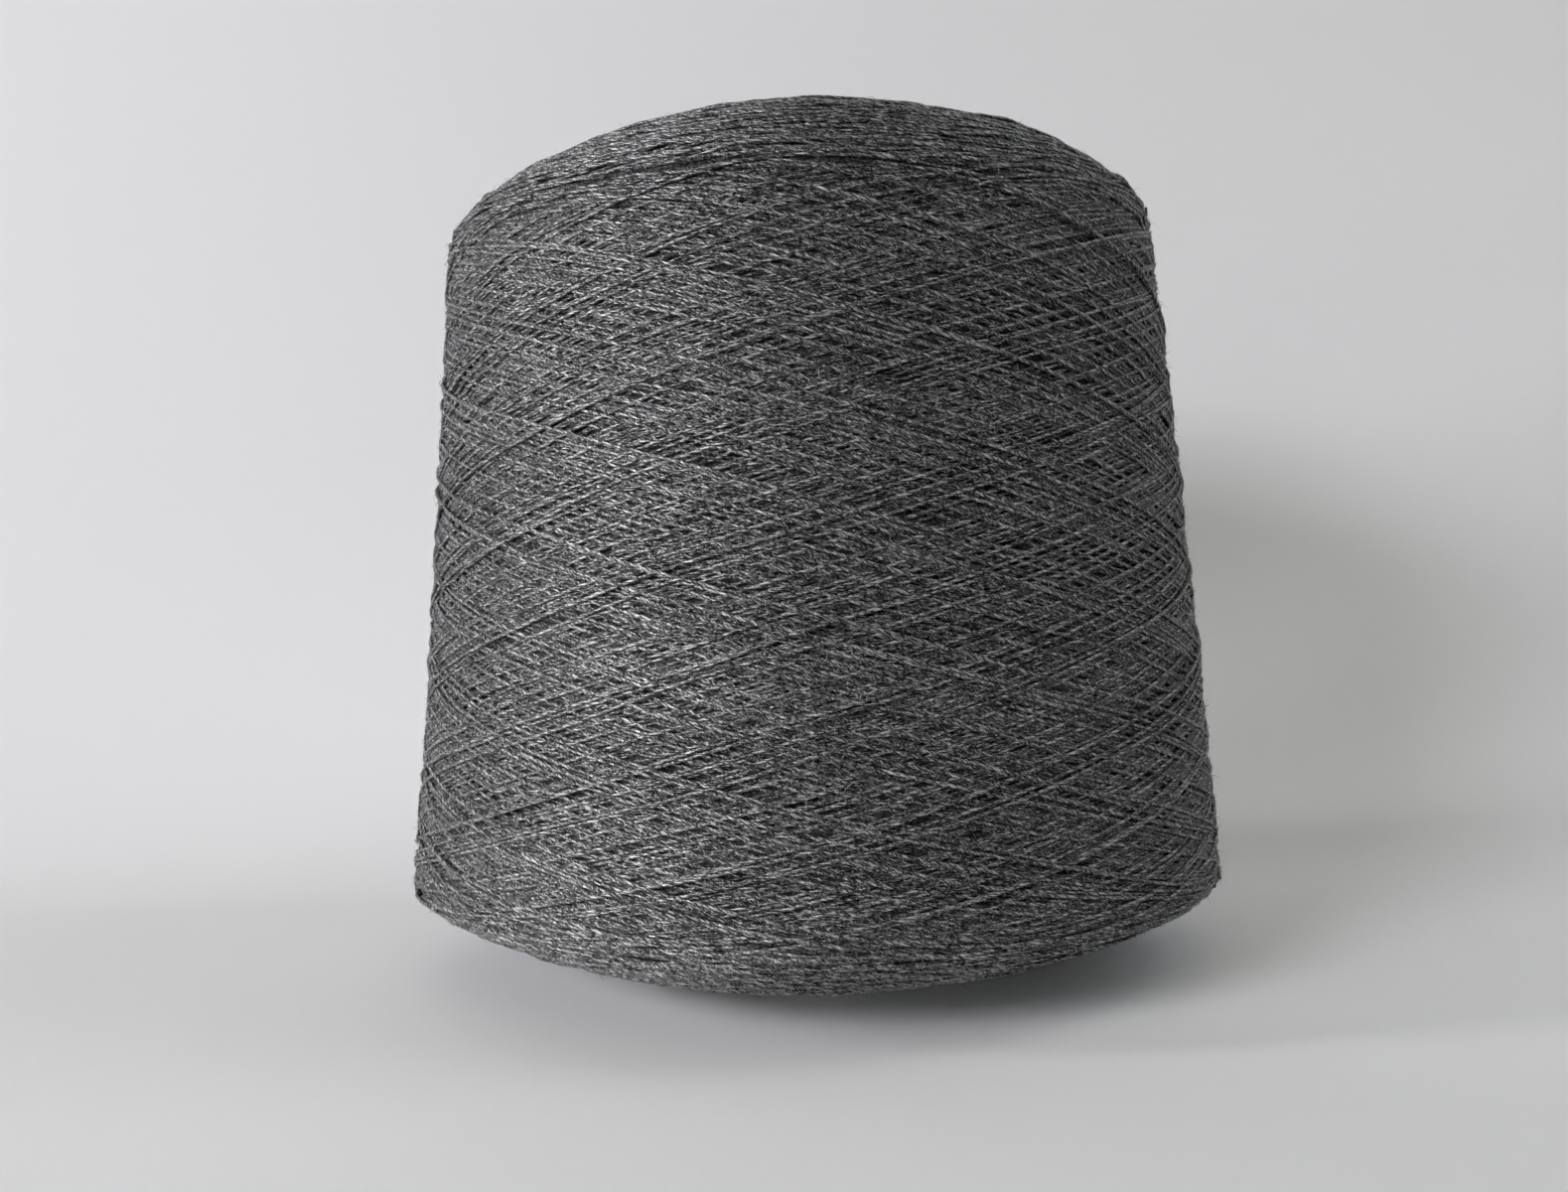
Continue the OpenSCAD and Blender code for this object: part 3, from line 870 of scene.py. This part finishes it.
def fibre_faces(count):
    """Corners and sizes of the faces of so many fibres' tubes, with their two end caps."""
    first = np.arange(count)[:, None, None] * FIBRE_JOINTS * FIBRE_SIDES
    k = np.arange(FIBRE_JOINTS - 1)[None, :, None] * FIBRE_SIDES
    i = np.arange(FIBRE_SIDES)[None, None, :]
    a = first + k + i
    b = first + k + (i + 1) % FIBRE_SIDES
    quads = np.stack([a, b, b + FIBRE_SIDES, a + FIBRE_SIDES], -1).reshape(-1, 4)
    start = first[:, 0, 0]
    end = start + (FIBRE_JOINTS - 1) * FIBRE_SIDES
    caps = np.concatenate([np.stack([start + 2, start + 1, start], -1),
                           np.stack([end, end + 1, end + 2], -1)])
    sizes = np.concatenate([np.full(len(quads), 4), np.full(len(caps), FIBRE_SIDES)])
    return np.concatenate([quads.ravel(), caps.ravel()]), sizes


def make_fibres():
    rings = fibre_rings(np.random.default_rng(SEED + 2))
    for part, grey in enumerate(FIBRE_GREYS):
        mine = rings[part::len(FIBRE_GREYS)]
        mesh = mesh_of(f"loose_fibres_{part + 1}", mine.reshape(-1, 3), *fibre_faces(len(mine)))
        mesh.materials.append(fibre_material(part + 1, grey))
        take(linked(mesh.name, mesh), "outer_winding")


TAIL_RINGS, TAIL_TURNS, TAIL_CLIMB = 96, 2.25, 16
TAIL_Z, TAIL_PITCH, TAIL_TOP_Z, TAIL_GAP = 1.8, 1.2, 7.8, 0.37
TAIL_OUT_Z, TAIL_TONE = 0.076, 3.0


def make_tail(material):
    """The first turns of the yarn on the former's bare base, led up into the package."""
    count = int(TAIL_RINGS * TAIL_TURNS)
    k = np.arange(count + TAIL_CLIMB + 1)
    z = np.where(k <= count, TAIL_Z + TAIL_PITCH * k / TAIL_RINGS, 0)
    bend = TAIL_Z + TAIL_PITCH * TAIL_TURNS
    z = np.where(k > count, bend + (TAIL_TOP_Z - bend) * ((k - count) / TAIL_CLIMB) ** 2, z)
    turn = TAU * k / TAIL_RINGS
    r = former_r(z) + TAIL_GAP
    points = np.stack([r * np.cos(turn), r * np.sin(turn), z], -1)
    out = np.stack([np.cos(turn), np.sin(turn), TAIL_OUT_Z + 0 * turn], -1)
    tubes = TubeSet()
    tubes.add(points, out, length_along(points), TAIL_TONE, np.zeros((len(points), 1)), YARN_R, YARN_R)
    take(tubes.make("winding_tail", material), "transfer_tail")


def dress_former():
    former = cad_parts["cone_former"]
    paper = paper_material()
    former.data.materials.clear()
    former.data.materials.append(paper)


# ---------- the studio, in metres ----------
CAMERA_AT, LENS, SENSOR, ROLL_DEG = (-0.0055, -0.308, 0.0742), 33.8, 36, 1.66
AIM, LOW_AIM = Vector((0, 0, 0.08)), Vector((-0.03, -0.06, 0.03))
KEY, FILL, WARM, PLAIN = (1.0, 1.0, 1.08), (0.957, 1.0, 1.046), (1.03, 1.0, 0.72), (1.0, 1.0, 1.0)
WALL_Y, SWEEP_R, SWEEP_POINTS = 0.172, 0.115, 40
FLOOR_FRONT, FLOOR_MIDDLE, HALF_WIDTH, WALL_HEIGHT = -1.7, -0.5, 1.7, 2.5
FADE_FROM, FADE_TO = 1.1, 1.65
RIGHT_LIGHT_FROM = -0.6
BACKDROP_COLOUR, WORLD_COLOUR = (0.8, 0.8, 0.8, 1), (0.56, 0.56, 0.57, 1)


def camera():
    data = bpy.data.cameras.new("camera")
    data.sensor_width = SENSOR
    data.lens = LENS
    obj = linked("camera", data)
    obj.location = CAMERA_AT
    obj.rotation_euler = (math.pi / 2, math.radians(ROLL_DEG), 0)
    bpy.context.scene.camera = obj


def area_light(name, left_deg, up_deg, distance, size, watts, colour,
               spread_deg=180, aim=AIM, shift_y=0.0):
    """A soft light from so many degrees to the left of the camera and above the level. No camera sees it."""
    left, up = math.radians(left_deg), math.radians(up_deg)
    data = bpy.data.lights.new(name, "AREA")
    data.shape = "RECTANGLE"
    data.size, data.size_y = size
    data.energy = watts
    data.color = colour
    data.spread = math.radians(spread_deg)
    obj = linked(name, data)
    away = Vector((-math.sin(left) * math.cos(up), -math.cos(left) * math.cos(up), math.sin(up)))
    obj.location = aim + away * distance
    obj.location.y += shift_y
    obj.rotation_euler = away.to_track_quat("Z", "Y").to_euler()
    obj.visible_camera = False


def backdrop_material():
    """Pale paper with one side, so that a view from behind looks in. Far out it fades away."""
    n = Nodes("backdrop_paper")
    n.surface("Base Color", BACKDROP_COLOUR)
    gloss(n, 0.9, 0.2)
    flat = n.offset("MULTIPLY", n.place(), (1, 1, 0))
    out = n.add("ShaderNodeVectorMath", p_operation="LENGTH", Vector=flat).outputs["Value"]
    behind = n.add("ShaderNodeNewGeometry").outputs["Backfacing"]
    clear = n.math("MAXIMUM", behind, n.span(out, FADE_FROM, FADE_TO, smooth=True))
    nothing = n.add("ShaderNodeBsdfTransparent").outputs[0]
    mixed = n.tree.nodes.new("ShaderNodeMixShader")
    for socket, value in zip(mixed.inputs, (clear, n.shader.outputs[0], nothing)):
        n.plug(socket, value)
    n.plug(n.tree.nodes["Material Output"].inputs["Surface"], mixed.outputs[0])
    return n.material


def backdrop():
    """A seamless pale sweep: floor, a wide curve, and a wall close behind."""
    arc = [(WALL_Y - SWEEP_R + SWEEP_R * math.sin(t), SWEEP_R - SWEEP_R * math.cos(t))
           for t in np.linspace(0, math.pi / 2, SWEEP_POINTS)]
    line = [(FLOOR_FRONT, 0.0), (FLOOR_MIDDLE, 0.0)] + arc + [(WALL_Y, WALL_HEIGHT)]
    verts = [(x, y, z) for y, z in line for x in (-HALF_WIDTH, HALF_WIDTH)]
    faces = [(2 * i, 2 * i + 1, 2 * i + 3, 2 * i + 2) for i in range(len(line) - 1)]
    mesh = bpy.data.meshes.new("backdrop")
    mesh.from_pydata(verts, [], faces)
    mesh.polygons.foreach_set("use_smooth", [True] * len(faces))
    mesh.materials.append(backdrop_material())
    obj = linked("backdrop", mesh)


def lights():
    """The key and its helpers at the left, a warm front light, and a fill light at the right."""
    area_light("key", 40, 19.5, 1.37, (0.5, 0.28), 9.4, KEY)
    area_light("key_side", 48, 14, 1.37, (0.48, 0.27), 1.95, KEY)
    area_light("side_high", 82, 18, 1.2, (0.3, 0.3), 0.12, PLAIN, 16)
    area_light("side_low", 70, 5, 1.2, (0.3, 0.3), 0.1, PLAIN, 16)
    area_light("side_floor", 55, -3, 1.2, (0.3, 0.3), 0.02, PLAIN, 16)
    area_light("base", 45, 5, 1.2, (0.15, 0.15), 0.032, PLAIN, 8, LOW_AIM)
    area_light("front", 0, 50, 1.6, (1.2, 1.2), 3.1, WARM)
    area_light("right", -90, 40, 1.6, (WALL_Y - RIGHT_LIGHT_FROM, 1.2), 5.65, FILL,
               shift_y=(WALL_Y + RIGHT_LIGHT_FROM) / 2)


def studio():
    """The backdrop and lights. The pale world shows past the backdrop, and lights nothing."""
    scene = bpy.context.scene
    scene.view_settings.view_transform = "Standard"
    world = bpy.data.worlds.new("studio")
    scene.world = world
    world.use_nodes = True
    world.node_tree.nodes["Background"].inputs[0].default_value = WORLD_COLOUR
    for kind in ("diffuse", "glossy", "transmission", "scatter"):
        setattr(world.cycles_visibility, kind, False)
    lights()
    backdrop()


camera()
studio()
wind()
yarn = yarn_material()
make_strands(yarn)
make_core(core_material())
make_tail(yarn)
make_fibres()
dress_former()
